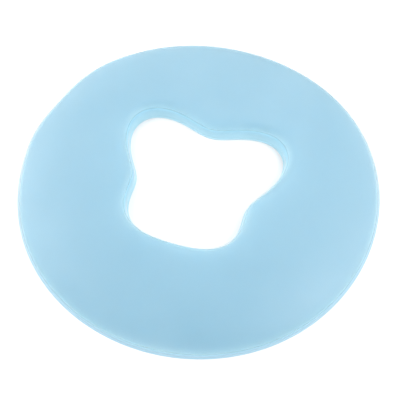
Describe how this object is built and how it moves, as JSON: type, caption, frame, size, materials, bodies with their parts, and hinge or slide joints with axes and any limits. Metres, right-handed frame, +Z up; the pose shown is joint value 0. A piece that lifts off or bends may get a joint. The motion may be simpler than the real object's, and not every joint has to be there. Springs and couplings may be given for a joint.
{
  "type": "face cradle cushion",
  "caption": "Low oval gel ring with a lobed face opening, laid on a massage table's face rest so a person can lie face down.",
  "frame": {"origin": "middle of the pad's width and length, on the flat underside", "axes": "+Z up through the thickness, +Y towards the brow end of the face opening, X across the face"},
  "size_m": [0.2988, 0.2928, 0.016],
  "materials": {
    "upper_film": "pale blue moulded polyurethane film, translucent, satin matt with a very fine grain",
    "gel": "pale blue soft gel, cloudy and translucent, smooth",
    "base_film": "pale blue flat polyurethane film, matt, with a fine pressed grain that grips the face rest"
  },
  "bodies": {
    "root": {"upper_skin": "upper_film", "gel_ring": "gel", "base_skin": "base_film"}
  },
  "joints": []
}
